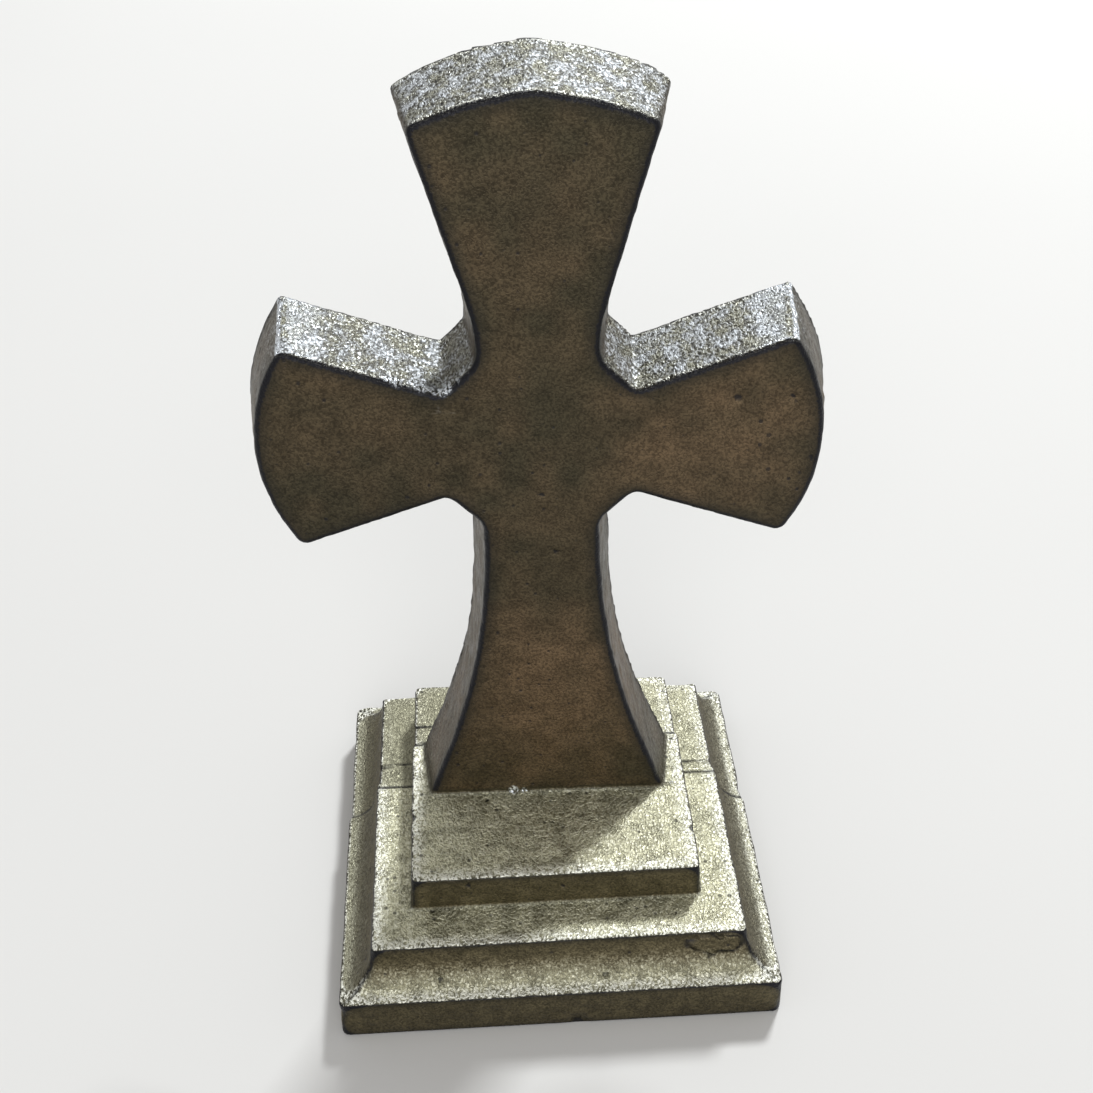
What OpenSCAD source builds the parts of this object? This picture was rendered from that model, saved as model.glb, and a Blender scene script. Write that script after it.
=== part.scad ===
// A standing cross with four flared arms on a stepped square plinth, sand-cast in iron
// in one piece. Millimetres. +Z is up, the front looks along -Y, and the origin is on
// the ground under the middle of the slab.
//
// The cross lies in the front half of the mould: its face is its smaller outline, and its
// sides widen to the flat back, which is where the two halves of the mould met.

/* [Cross] */
// Height of the crossing above the top block
stem_h = 97.4; // [70:0.1:140]
// Reach of the upper arm from the crossing to the middle of its end
head_reach = 74.3; // [56:0.1:110]
// Reach of each side arm from the crossing to the middle of its end
side_reach = 58; // [46:0.1:90]
// Width of an arm where it leaves the crossing
neck_w = 24.2; // [16:0.1:32]
// Distance from the crossing at which an arm begins
neck_out = 19.3; // [17:0.1:26]
// Width of an arm across the corners of its end
end_w = 46.8; // [38:0.1:60]
// Rise of the curved end of a side arm over its corners
side_bow = 7.2; // [3:0.1:12]
// Rise of the curved end of the upper arm over its corners
head_bow = 6.5; // [3:0.1:12]
// Width of the foot where the stem stands on the top block
foot_w = 55.4; // [40:0.1:80]
// Radius of the curve in which the stem widens to its foot
stem_flare_r = 185; // [60:1:400]
// Radius of the curve in which the upper arm begins to widen
head_flare_r = 40; // [10:1:90]
// Radius of the corners of the arm ends
tip_r = 1.8; // [1:0.1:3]
// Radius in the corners between two arms
crotch_r = 2.2; // [0.5:0.1:4]
// Thickness from the face to the flat back
cross_t = 18.3; // [12:0.1:30]
// How far the sides widen from the face to the back
draft_run = 2.8; // [0.5:0.1:4]
// How much higher the end of the upper arm is at the back than at the face
head_rise = 3.8; // [0.5:0.1:5]
// Radius of the edge round the face
face_edge_r = 1.2; // [0.4:0.1:1.6]
// Radius of the edge round the back
back_edge_r = 0.5; // [0.2:0.1:1]
// Turn of the cross about the middle of its back, clockwise from above
turn = 1.45; // [0:0.05:4]

/* [Plinth] */
// Height of the upright side of the slab
slab_h = 10.5; // [6:0.1:20]
// Height of the hollow moulding between the slab and the ledge
cove_h = 10.5; // [6:0.1:20]
// Height of the top block
block_h = 9.1; // [6:0.1:20]
// Run of the hollow moulding at each side
cove_side = 7.8; // [4:0.1:14]
// Run of the hollow moulding at the front
cove_front = 6.5; // [4:0.1:14]
// Run of the hollow moulding at the back
cove_back = 8.2; // [4:0.1:14]
// Width of the ledge at each side of the top block
ledge_side = 9.3; // [4:0.1:20]
// Width of the ledge in front of the top block
ledge_front = 11.3; // [4:0.1:20]
// Width of the ledge behind the top block
ledge_back = 7.4; // [4:0.1:20]
// Width of the top block past each side of the foot
shelf_side = 2.4; // [1:0.1:12]
// Depth of the top block in front of the cross
shelf_front = 26.9; // [12:0.1:40]
// Depth of the top block behind the cross
shelf_back = 21.7; // [12:0.1:40]
// Radius of the upright corners
corner_r = 2; // [0.5:0.1:3]
// How far the rear half of the plinth stands in from the front half, at each side
parting_step = 0.5; // [0.2:0.1:0.8]

/* [Hidden] */

iron = [0.40, 0.36, 0.25];
flare_steps = 12;     // pieces in the curve of a flank
end_steps = 10;       // pieces in half the curve of an arm end
round_steps = 4;      // pieces in a small round corner
edge_steps = 3;       // pieces in the edge round the face or the back
cove_steps = 10;      // pieces in the hollow moulding
neck_run = 2;         // straight length of an arm at its neck, before its flank curves
foot_root = 2;        // depth of the foot inside the top block
least_r = 0.2;        // no corner is sharper than this

ledge_top = slab_h + cove_h;
block_top = ledge_top + block_h;
crossing_h = block_top + stem_h;
block_w = foot_w + 2 * (draft_run + shelf_side);
ledge_w = block_w + 2 * ledge_side;
slab_w = ledge_w + 2 * cove_side;

// Depths from the front of the slab
ledge_y = cove_front;
block_y = ledge_y + ledge_front;
face_y = block_y + shelf_front;
parting_y = face_y + cross_t;
block_back_y = parting_y + shelf_back;
ledge_back_y = block_back_y + ledge_back;
slab_d = ledge_back_y + cove_back;

function reversed(points) = [for (i = [len(points) - 1:-1:0]) points[i]];
function mirrored(points) = [for (p = points) [p.x, -p.y]];
function turned(points, angle) =
    [for (p = points) [p.x * cos(angle) - p.y * sin(angle), p.x * sin(angle) + p.y * cos(angle)]];
function arc(centre, radius, from, to, steps) =
    [for (i = [0:steps]) let (a = from + (to - from) * i / steps) centre + radius * [cos(a), sin(a)]];

// The flank of an arm leaves its neck along the arm, curves outwards, and runs on straight.
// Its radius is kept small enough for that straight part to touch the curve.
function flare_radius(run, rise, wanted) = min(wanted, (run * run + rise * rise) / (2 * rise));
function flank_lean(run, rise, radius) =
    atan2(run, radius - rise) - acos(min(1, radius / norm([run, radius - rise])));

// The corner between an arm's flank and the slanting side of the crossing, with the outline
// grown outwards. An arm points along +X in its own frame, and neck_lean is the angle at
// which its flank leaves the corner.
function crotch(grow, neck_lean) =
    let (
        along = [cos(neck_lean), sin(neck_lean)],
        out = [-along.y, along.x],
        slide = (sqrt(2) - along.x + along.y) / (along.x + along.y),
        corner = [neck_out, neck_w / 2] + grow * (out + slide * along),
        radius = max(crotch_r - grow, least_r),
        back_off = radius * tan((45 + neck_lean) / 2)
    )
    arc(corner + back_off * along + radius * out, radius, -135, neck_lean - 90, round_steps);

// The curve with which a flared flank begins
function flare(grow, radius, lean) =
    arc([neck_out + neck_run, neck_w / 2 + radius], radius - grow, -90, lean - 90, flare_steps);

// The round tip and half of the curved end of an arm whose flank leans outwards. The flank
// is moved out by grow and the end by rise, of which swell goes into the radius of the end.
function arm_end(grow, rise, swell, reach, bow, lean) =
    let (
        half = end_w / 2,
        end_r = (half * half + bow * bow) / (2 * bow) + swell,
        centre = [reach + rise - end_r, 0],
        along = [cos(lean), sin(lean)],
        inner = [reach - bow, half] + (grow - tip_r) * [-along.y, along.x] - centre,
        slide = sqrt(pow(inner * along, 2) - inner * inner + pow(end_r - tip_r, 2)) - inner * along,
        tip = centre + inner + slide * along,
        tip_angle = atan2(tip.y, tip.x - centre.x)
    )
    concat(
        arc(tip, tip_r, 90 + lean, tip_angle, round_steps),
        [for (i = [1:end_steps]) let (a = tip_angle * (1 - i / end_steps))
            centre + end_r * [cos(a), sin(a)]]
    );

// Half of each arm, from the crossing to its middle line
function half_side_arm(grow) =
    let (lean = atan2((end_w - neck_w) / 2, side_reach - side_bow - neck_out))
    concat(crotch(grow, lean), arm_end(grow, grow, grow, side_reach, side_bow, lean));
function half_head(grow) =
    let (
        run = head_reach - head_bow - neck_out - neck_run,
        rise = (end_w - neck_w) / 2,
        radius = flare_radius(run, rise, head_flare_r),
        lean = flank_lean(run, rise, radius),
        lift = head_rise * grow / draft_run
    )
    concat(
        crotch(grow, 0),
        flare(grow, radius, lean),
        arm_end(grow, lift, 0, head_reach, head_bow, lean)
    );
function half_stem(grow) =
    let (
        run = stem_h - neck_out - neck_run,
        rise = (foot_w - neck_w) / 2,
        radius = flare_radius(run, rise, stem_flare_r),
        lean = flank_lean(run, rise, radius),
        root = [stem_h + foot_root, foot_w / 2 + grow / cos(lean) + foot_root * tan(lean)]
    )
    concat(crotch(grow, 0), flare(grow, radius, lean), [root]);

// A whole arm shares the point on its middle line. The stem has none there.
function whole_arm(half) = concat([for (p = mirrored(half)) if (p.y < -0.001) p], reversed(half));
function cross_outline(grow) =
    concat(
        whole_arm(half_side_arm(grow)),
        turned(whole_arm(half_head(grow)), 90),
        turned(whole_arm(half_side_arm(grow)), 180),
        turned(whole_arm(half_stem(grow)), 270)
    );

// Each ring is [depth behind the face, growth of the outline]: round the edge of the face,
// down the drafted sides, and round the edge of the back.
function ring(depth, grow) = [depth, grow + draft_run * depth / cross_t];
RINGS = concat(
    [for (i = [0:edge_steps]) let (a = 90 * i / edge_steps)
        ring(face_edge_r * (1 - cos(a)), -face_edge_r * (1 - sin(a)))],
    [for (i = [0:edge_steps]) let (a = 90 * i / edge_steps)
        ring(cross_t - back_edge_r * (1 - sin(a)), -back_edge_r * (1 - cos(a)))]
);

// The face and the back are laid in bands across each arm, from every point of one flank
// to its twin on the other, round an eight-sided middle.
side_size = len(whole_arm(half_side_arm(0)));
head_size = len(whole_arm(half_head(0)));
stem_size = len(whole_arm(half_stem(0)));
ARMS = [    // [first point, last point] of each arm in the outline
    [0, side_size - 1],
    [side_size, side_size + head_size - 1],
    [side_size + head_size, 2 * side_size + head_size - 1],
    [2 * side_size + head_size, 2 * side_size + head_size + stem_size - 1]
];
FLAT_FACES = concat(
    [for (arm = ARMS) for (i = [0:ceil((arm[1] - arm[0]) / 2) - 1])
        let (a = arm[0] + i, b = arm[1] - i)
        b - a > 2 ? [a, a + 1, b - 1, b] : [a, a + 1, b]],
    [[for (arm = ARMS) for (point = arm) point]]
);

module cross_body() {
    n = len(cross_outline(0));
    last = len(RINGS) - 1;
    points = [for (r = RINGS) for (p = cross_outline(r[1])) [p.x, r[0], p.y]];
    sides = [for (k = [0:last - 1]) for (i = [0:n - 1]) let (j = (i + 1) % n)
        [k * n + i, k * n + j, (k + 1) * n + j, (k + 1) * n + i]];
    face = [for (f = FLAT_FACES) reversed(f)];
    back = [for (f = FLAT_FACES) [for (i = f) last * n + i]];
    polyhedron(points, concat(face, sides, back));
}

// Half of the slab's profile: upright, then the hollow moulding, a quarter of an ellipse
// that leaves the slab level and meets the ledge upright.
function moulding(edge, run) =
    [for (i = [0:cove_steps]) let (a = 90 * i / cove_steps)
        [edge - run * sin(a), ledge_top - cove_h * cos(a)]];
function width_profile(width) =
    let (right = concat([[width / 2, 0]], moulding(width / 2, cove_side)))
    concat(right, reversed([for (p = right) [-p.x, p.y]]));
function depth_profile() =
    concat(
        [[slab_d, 0]],
        moulding(slab_d, cove_back),
        reversed(moulding(0, -cove_front)),
        [[0, 0]]
    );

// A rectangle with round corners, centred on X, between two depths
function round_plan(width, front, back) =
    let (x = width / 2 - corner_r)
    concat(
        arc([x, back - corner_r], corner_r, 0, 90, round_steps),
        arc([-x, back - corner_r], corner_r, 90, 180, round_steps),
        arc([-x, front + corner_r], corner_r, 180, 270, round_steps),
        arc([x, front + corner_r], corner_r, 270, 360, round_steps)
    );

// The slab, its moulding and the ledge, between two depths
module base_half(width, front, back) {
    intersection() {
        translate([0, back, 0]) rotate([90, 0, 0]) linear_extrude(back - front)
            polygon(width_profile(width));
        translate([-width / 2, 0, 0]) rotate([90, 0, 90]) linear_extrude(width)
            polygon(depth_profile());
        linear_extrude(ledge_top) polygon(round_plan(width, 0, slab_d));
    }
}

// The top block between two depths, with its root in the base
module block_half(width, front, back) {
    intersection() {
        translate([0, 0, slab_h]) linear_extrude(block_top - slab_h)
            polygon(round_plan(width, block_y, block_back_y));
        translate([-width / 2, front, slab_h]) cube([width, back - front, block_top - slab_h]);
    }
}

module plinth() {
    inset = 2 * parting_step;
    base_half(slab_w, 0, parting_y);
    base_half(slab_w - inset, parting_y, slab_d);
    block_half(block_w, block_y, parting_y);
    block_half(block_w - inset, parting_y, block_back_y);
}

module grave_cross() {
    color(iron)
        translate([0, -slab_d / 2, 0]) {
            plinth();
            translate([0, parting_y, crossing_h])
                rotate([0, 0, -turn])
                    translate([0, -cross_t, 0]) cross_body();
        }
}

grave_cross();
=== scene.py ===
"""A small standing cross on a stepped plinth, sand-cast in iron in one piece.

Its skin is one closed surface. The casting is a field of distances, worked out with numpy
from its named sizes, and the surface is where that field is zero. The finish is dull
gold-bronze paint over black iron, worn through along the edges.
"""

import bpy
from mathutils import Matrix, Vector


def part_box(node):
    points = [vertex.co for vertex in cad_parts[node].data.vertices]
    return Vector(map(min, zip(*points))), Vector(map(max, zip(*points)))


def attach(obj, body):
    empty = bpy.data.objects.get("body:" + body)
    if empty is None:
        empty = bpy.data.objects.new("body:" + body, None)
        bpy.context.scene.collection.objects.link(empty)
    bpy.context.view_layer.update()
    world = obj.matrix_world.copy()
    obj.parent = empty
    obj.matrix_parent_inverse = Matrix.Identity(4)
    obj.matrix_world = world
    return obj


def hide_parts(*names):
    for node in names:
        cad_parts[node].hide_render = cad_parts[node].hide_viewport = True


bl_info = {
    "name": "Bronzed Iron Cross",
    "version": (1, 0, 0),
    "blender": (4, 5, 0),
    "location": "3D View > Sidebar > Iron Cross",
    "description": "Makes the skin and the finish of a sand-cast iron cross, and its stage",
    "category": "Add Mesh",
}

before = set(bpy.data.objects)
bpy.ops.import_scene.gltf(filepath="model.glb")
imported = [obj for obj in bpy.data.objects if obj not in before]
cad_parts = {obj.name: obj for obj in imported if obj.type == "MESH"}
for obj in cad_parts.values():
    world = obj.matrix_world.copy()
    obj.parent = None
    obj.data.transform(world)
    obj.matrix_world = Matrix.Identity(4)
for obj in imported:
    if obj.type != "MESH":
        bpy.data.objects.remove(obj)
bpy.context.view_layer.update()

import math

import bpy
import numpy as np
from bpy.props import FloatProperty, FloatVectorProperty, IntProperty, PointerProperty
from mathutils import Matrix, Vector

LOW, HIGH = (np.array(corner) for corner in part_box("grave_cross"))
MM = 0.001
NECK_RUN = 2 * MM          # straight length of a flared arm before its flank curves
FOOT_ROOT = 2 * MM         # depth of the foot inside the top block
WAIST_DOWN = 69.5 * MM     # from the crossing down to the middle of the stem's waist
WAIST_HALF = 36 * MM       # half the length of the waist
PARTING_JOG = 4 * MM       # how much further forward the parting line lies on the lower courses
LEAST_TIP = 0.6 * MM       # least radius of the corners of the arm ends
LEAST_FILLET = 0.3 * MM    # least radius in the corners between two arms
SHARP = 1e-6               # radius of an edge or a corner that counts as sharp
MASK_REACH = 4 * MM        # how far from an edge or a corner the wear masks reach
TIP_OUT = 42 * MM          # from the crossing to where the painted highlight on the corner of a side arm begins
PIT_PATCH = (-27.5 * MM, 10 * MM, 3.5 * MM)  # pits on the left arm: across, depth, radius
NUDGE = 0.04 * MM          # step of the differences that give a slope
SETTLE_ROUNDS = 4          # rounds in which the skin settles on the casting
LONGEST_MOVE = 0.5 * MM    # most that a point moves along an axis in one round
GRID_SHIFT = 0.31          # share of a cell by which the grid misses the flat faces
LATTICE = 32               # random values along each side of the noise's lattice
PATCHES_PER_METRE = 260.0  # scale of the noise that breaks up the paint


def length(name, description, millimetres):
    """A size in metres, written down in millimetres."""
    return FloatProperty(
        name=name, description=description, default=millimetres * MM, min=0, precision=5, unit="LENGTH"
    )


def colour(name, description, red, green, blue):
    """A colour in linear light."""
    return FloatVectorProperty(
        name=name, description=description, default=(red, green, blue),
        min=0, max=1, size=3, subtype="COLOR",
    )


def position(name, description, x, y, z):
    """A place in metres."""
    return FloatVectorProperty(
        name=name, description=description, default=(x, y, z), size=3, unit="LENGTH"
    )


def angle(name, description, degrees):
    """An angle, written down in degrees."""
    return FloatProperty(
        name=name, description=description, default=math.radians(degrees), subtype="ANGLE"
    )


def number(name, description, value, low, high):
    """A plain number."""
    return FloatProperty(name=name, description=description, default=value, min=low, max=high)


class CrossSizes(bpy.types.PropertyGroup):
    """Sizes of the cross, measured outwards from its crossing."""

    stem_height: length("Stem height", "Height of the crossing above the top block", 97.4)
    head_reach: length("Head reach", "From the crossing to the middle of the upper arm's end", 74.3)
    side_reach: length("Side reach", "From the crossing to the middle of a side arm's end", 58)
    neck_width: length("Neck width", "Width of an arm where it leaves the crossing", 24.2)
    neck_out: length("Neck place", "Distance from the crossing at which an arm begins", 19.3)
    end_width: length("End width", "Width of an arm across the corners of its end", 46.8)
    side_bow: length("Side bow", "Rise of the curved end of a side arm over its corners", 7.2)
    head_bow: length("Head bow", "Rise of the curved end of the upper arm over its corners", 6.5)
    foot_width: length("Foot width", "Width of the stem where it stands on the block", 55.4)
    stem_flare: length("Stem flare", "Radius in which the stem widens to its foot", 185)
    head_flare: length("Head flare", "Radius in which the upper arm begins to widen", 40)
    tip_radius: length("Tip radius", "Radius of the corners of the arm ends", 1.8)
    crotch_radius: length("Crotch radius", "Radius in the corners between two arms", 1.3)
    thickness: length("Thickness", "From the face to the flat back", 18.3)
    draft: length("Draft", "How far the sides widen from the face to the back", 2.8)
    head_rise: length("Head rise", "How much higher the upper arm's end is at the back", 3.8)
    head_sag: length("Head sag", "How much flatter the upper arm's end is beside its crown", 0.5)
    waist: length("Waist", "How much less the sides of the stem widen at mid-height", 1.6)
    face_round: length("Face edge", "Radius of the edge round the face", 1.1)
    back_round: length("Back edge", "Radius of the edge round the back", 0.6)
    turn: angle("Turn", "Turn of the cross, clockwise from above", 1.45)


class PlinthSizes(bpy.types.PropertyGroup):
    """Sizes of the plinth, from the ground up and from its front to its back."""

    slab_height: length("Slab height", "Height of the upright side of the slab", 10.5)
    cove_height: length("Cove height", "Height of the hollow moulding", 10.5)
    block_height: length("Block height", "Height of the top block", 9.1)
    slab_half: length("Slab half-width", "Half the width of the slab", 50)
    block_half: length("Block half-width", "Half the width of the top block", 32.9)
    cove_side: length("Side cove", "Run of the hollow moulding at each side", 7.8)
    cove_front: length("Front cove", "Run of the hollow moulding at the front", 6.5)
    cove_back: length("Back cove", "Run of the hollow moulding at the back", 8.2)
    ledge_front: length("Front ledge", "Width of the ledge in front of the block", 11.3)
    shelf_front: length("Front shelf", "Depth of the block in front of the cross", 26.9)
    shelf_back: length("Back shelf", "Depth of the block behind the cross", 21.7)
    corner_radius: length("Corner radius", "Radius of the upright corners", 1.7)
    edge_radius: length("Edge radius", "Radius of the other edges", 0.7)
    fillet: length("Fillet", "Radius left by the sand in the inner corners", 0.8)
    step: length("Parting step", "How far the rear half stands in from the front half", 0.5)
    step_run: length("Step run", "Length over which the parting step falls", 0.8)


class CastRelief(bpy.types.PropertyGroup):
    """What the sand and the mould left on the skin."""

    cell: length("Cell", "Spacing of the skin's vertices", 0.82)
    swell: length("Swell", "Height of the broad unevenness", 0.14)
    lump: length("Lump", "Height of the small unevenness", 0.09)
    grain: length("Grain", "Height of the coarsest sand grain", 0.075)
    seed: IntProperty(name="Seed", description="Which sand the mould was made of", default=11, min=0)


class BronzePaint(bpy.types.PropertyGroup):
    """Colours and wear of the paint and of the iron under it."""

    # The colours for the surfaces that face up are partly painted light, and the olives for the upright
    # faces are partly painted shade.
    gold: colour("Gold", "Paint on the surfaces that face up", 0.62, 0.60, 0.42)
    # Pale gold also paints light: glints on the plinth's grain crests, and sheen and highlights along its
    # edges.
    pale: colour("Pale gold", "Crests of the grain, where the paint is thickest", 0.93, 0.93, 0.84)
    dull: colour("Dull gold", "Thin or tarnished paint on the same surfaces", 0.29, 0.28, 0.195)
    steel: colour("Steel", "Thinner paint on top of the arms and at the sides", 0.21, 0.21, 0.195)
    olive: colour("Olive", "Paint on the upright faces of the cross", 0.048, 0.040, 0.0235)
    umber: colour("Umber", "Warm blotches in that paint", 0.122, 0.082, 0.0465)
    plinth_olive: colour("Plinth olive", "Paint on the upright faces of the plinth", 0.090, 0.075, 0.042)
    # This dark colour also paints shade: in the gaps of the grain, in the inner corners and along the
    # edges of the upright faces.
    grime_and_shade: colour("Soot", "Grime between the grains", 0.022, 0.021, 0.017)
    iron: colour("Iron", "Bare iron along the edges", 0.014, 0.014, 0.017)
    # This colour also paints light: the highlight on the upper corners of the side arms, and glints on
    # the cross's grain crests and on the raised flaws.
    bright: colour("Rubbed metal", "Raised flaws and sharp corners, rubbed bright", 0.76, 0.80, 0.85)
    wear: length("Wear", "Width of the bare edge", 0.95)
    ragged: length("Ragged", "How unevenly the bare edge ends", 1.1)
    grain_size: length("Grain size", "Size of a grain of the moulding sand", 0.55)
    grain_height: length("Grain height", "Height of a grain of the moulding sand", 0.22)
    pit_spacing: length("Pit spacing", "Size of the cells in which pits may stand", 2.2)
    metal: number("Metal", "How metallic the paint is", 0.85, 0, 1)
    smoothest: number("Smoothest", "Roughness where the paint is smoothest", 0.38, 0, 1)
    roughest: number("Roughest", "Roughness where the paint is roughest", 0.52, 0, 1)


class Studio(bpy.types.PropertyGroup):
    """The camera, the lamps and the floor."""

    eye: position("Eye", "Place of the camera", -0.01235, -0.28683, 0.30632)
    heading: angle("Heading", "Turn of the view to the right", 2.603)
    dip: angle("Dip", "How far the view looks down", 35.938)
    roll: angle("Roll", "Roll of the camera", -1.105)
    lens: number("Lens", "Focal length on a 36 mm sensor", 53.71, 10, 200)
    aim: position("Aim", "Place that the lamps are turned to", 0, 0, 0.1)
    key_place: position("Key place", "Place of the key lamp, high behind on the right", 0.85, 1.6, 2.0)
    key_size: length("Key size", "Width of the key lamp", 380)
    key_power: number("Key power", "Power of the key lamp, in watts", 56, 0, 1000)
    key_tint: colour("Key tint", "Colour of the key lamp", 0.95, 0.98, 1.0)
    fill_place: position("Fill place", "Place of the fill lamp, in front", -0.12, -2.8, 1.3)
    fill_size: length("Fill size", "Width of the fill lamp", 2200)
    fill_power: number("Fill power", "Power of the fill lamp, in watts", 46, 0, 1000)
    fill_tint: colour("Fill tint", "Colour of the fill lamp", 1, 1, 1)
    sky: number("Sky", "Strength of the light from all round", 0.42, 0, 10)
    backdrop: colour("Backdrop", "Colour of the world behind the floor", 0.64, 0.64, 0.635)
    floor: colour("Floor", "Colour of the floor", 0.74, 0.73, 0.71)
    floor_reach: length("Floor reach", "From the middle of the floor to its sides", 3000)


class IronCross(bpy.types.PropertyGroup):
    """Everything that this script can be asked to change."""

    cross: PointerProperty(type=CrossSizes)
    plinth: PointerProperty(type=PlinthSizes)
    relief: PointerProperty(type=CastRelief)
    paint: PointerProperty(type=BronzePaint)
    studio: PointerProperty(type=Studio)


# --- The casting as a field of distances, in metres, negative inside ------------------------


def round_max(a, b, radius):
    """Where two solids meet, with a round edge: the greater of a and b, or near the edge the
    length of (a + r, b + r) less r."""
    corner = np.hypot(np.maximum(a + radius, 0), np.maximum(b + radius, 0))
    return np.minimum(np.maximum(a, b), -radius) + corner


def round_min(a, b, radius):
    """Two solids together, with a filled corner: the lesser of a and b, or near the corner r
    less the length of (r - a, r - b)."""
    corner = np.hypot(np.maximum(radius - a, 0), np.maximum(radius - b, 0))
    return np.maximum(np.minimum(a, b), radius) - corner


def smooth(t):
    """Goes from 0 to 1 as t does, by 3t^2 - 2t^3."""
    t = np.clip(t, 0, 1)
    return t * t * (3 - 2 * t)


def flank(u, v, start, run, rise, half_neck, radius):
    """Distance from the flank of an arm that points along u. Its half-width is the neck's up to
    start, then r - sqrt(r^2 - t^2) more along an arc, then grows straight to rise over run."""
    radius = min(radius, (run * run + rise * rise) / (2 * rise))
    lean = math.atan2(run, radius - rise) - math.acos(min(1, radius / math.hypot(run, radius - rise)))
    bend = radius * math.sin(lean)
    t = np.clip(u - start, 0, bend)
    drop = np.sqrt(radius * radius - t * t)
    half = half_neck + radius - drop + math.tan(lean) * np.maximum(u - start - bend, 0)
    spread = np.where(u - start >= bend, math.tan(lean), t / np.maximum(drop, MM))
    return (np.abs(v) - half) / np.sqrt(1 + spread * spread)


def arm(u, v, grow, rise, swell, c, reach, bow, start, flare):
    """Distance from an arm along u. Its flanks move out by grow, and its round end by rise, of
    which swell goes into the end's radius."""
    half_neck, half_end = c.neck_width / 2, c.end_width / 2
    sides = flank(u, v, start, reach - bow - start, half_end - half_neck, half_neck, flare) - grow
    end_radius = (half_end * half_end + bow * bow) / (2 * bow)
    end = np.hypot(u - reach - rise + swell + end_radius, v) - end_radius - swell
    tip = np.maximum(c.tip_radius - 0.4 * grow, LEAST_TIP)
    return np.maximum(round_max(sides, end, tip), -u)


def outline(x, z, grow, c):
    """Distance from the outline, grown outwards: two side arms, the upper arm and the stem, over
    a diamond that makes the slanting corners of the crossing."""
    curve_start = c.neck_out + NECK_RUN
    half_neck = c.neck_width / 2
    sides = arm(np.abs(x), z, grow, grow, grow, c, c.side_reach, c.side_bow, c.neck_out, 0)
    lift = grow * c.head_rise / c.draft
    # The end of the upper arm sags most from 7 to 14 mm beside its crown, and not at all past 24
    lift = lift - c.head_sag * smooth(np.abs(x) / (7 * MM)) * smooth(2.4 - np.abs(x) / (10 * MM))
    head = arm(z, x, grow, lift, 0, c, c.head_reach, c.head_bow, curve_start, c.head_flare)
    rise = c.foot_width / 2 - half_neck
    stem = flank(-z, x, curve_start, c.stem_height - curve_start, rise, half_neck, c.stem_flare) - grow
    stem = np.maximum(np.maximum(stem, z), -z - c.stem_height - FOOT_ROOT)
    diamond = (np.abs(x) + np.abs(z) - c.neck_out - half_neck) / math.sqrt(2) - grow
    fillet = np.maximum(c.crotch_radius - grow / 2, LEAST_FILLET)
    return round_min(np.minimum(np.minimum(sides, head), stem), diamond, fillet)


def cross_axes(x, y, z, c, h):
    """The place in the cross's own axes: x, depth behind the face, and z from the crossing."""
    cos, sin = math.cos(c.turn), math.sin(c.turn)
    behind = y - h["parting"]
    return cos * x - sin * behind, sin * x + cos * behind + c.thickness, z - h["crossing"]


def cross_field(x, y, z, c, h, edge):
    """The cross: its outline grows with the depth behind the face, less so at the waist of the
    stem, between a flat face and a flat back."""
    across, depth, up = cross_axes(x, y, z, c, h)
    waist = c.waist * np.maximum(1 - ((up + WAIST_DOWN) / WAIST_HALF) ** 2, 0)
    grow = (c.draft - waist) * depth / c.thickness
    wall = outline(across, up, grow, c) * math.cos(math.atan(c.draft / c.thickness))
    body = round_max(wall, -depth, edge or c.face_round)
    return round_max(body, depth - c.thickness, edge or c.back_round)


def hollow(out, up, run, rise):
    """Distance from an elliptical hollow, k0 (k0 - 1) / k1, where k0 is the length of
    (out / run, up / rise) and k1 that of (out / run^2, up / rise^2)."""
    k0 = np.hypot(out / run, up / rise)
    k1 = np.hypot(out / run**2, up / rise**2)
    return k0 * (k0 - 1) / np.maximum(k1, 1)


def side_step(y, z, s, h):
    """How far the sides stand in: nothing in front of the parting line, and the step behind it.
    The line lies further forward on the lower courses."""
    line = np.where(z > h["ledge"] + 0.2 * MM, h["parting"], h["low_parting"])
    return s.step * smooth((y - line) / s.step_run)


def plinth_field(x, y, z, s, h, edge, nook):
    """The plinth: a slab whose top is hollowed by an elliptical cove on all four sides, with a
    block on it."""
    inset = side_step(y, z, s, h)
    top = z - h["ledge"]
    soft = edge or s.edge_radius
    slab_out = np.abs(x) - s.slab_half + inset
    slab = round_max(slab_out, np.abs(y) - h["half_depth"], edge or s.corner_radius)
    slab = round_max(slab, -z, soft)
    side_cove = -hollow(slab_out, top, s.cove_side, s.cove_height)
    front_cove = -hollow(y + h["half_depth"], top, s.cove_front, s.cove_height)
    back_cove = -hollow(y - h["half_depth"], top, s.cove_back, s.cove_height)
    coves = round_max(side_cove, np.maximum(front_cove, back_cove), edge or s.edge_radius)
    slab = round_max(round_max(slab, coves, soft), top, soft)
    block = round_max(
        np.abs(x) - s.block_half + inset,
        np.maximum(h["block_front"] - y, y - h["block_back"]),
        edge or 0.8 * s.corner_radius,
    )
    block = np.maximum(round_max(block, z - h["block"], soft), h["ledge"] / 2 - z)
    return round_min(slab, block, nook or s.fillet)


def levels(group):
    """Heights and depths worked out from the sizes, with y = 0 at the middle of the slab."""
    c, s = group.cross, group.plinth
    half_depth = float(HIGH[1] - LOW[1]) / 2
    block_front = s.cove_front + s.ledge_front - half_depth
    parting = block_front + s.shelf_front + c.thickness
    block = s.slab_height + s.cove_height + s.block_height
    return {
        "half_depth": half_depth,
        "ledge": s.slab_height + s.cove_height,
        "block": block,
        "crossing": block + c.stem_height,
        "block_front": block_front,
        "block_back": parting + s.shelf_back,
        "parting": parting,
        "low_parting": parting - PARTING_JOG,
    }


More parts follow.
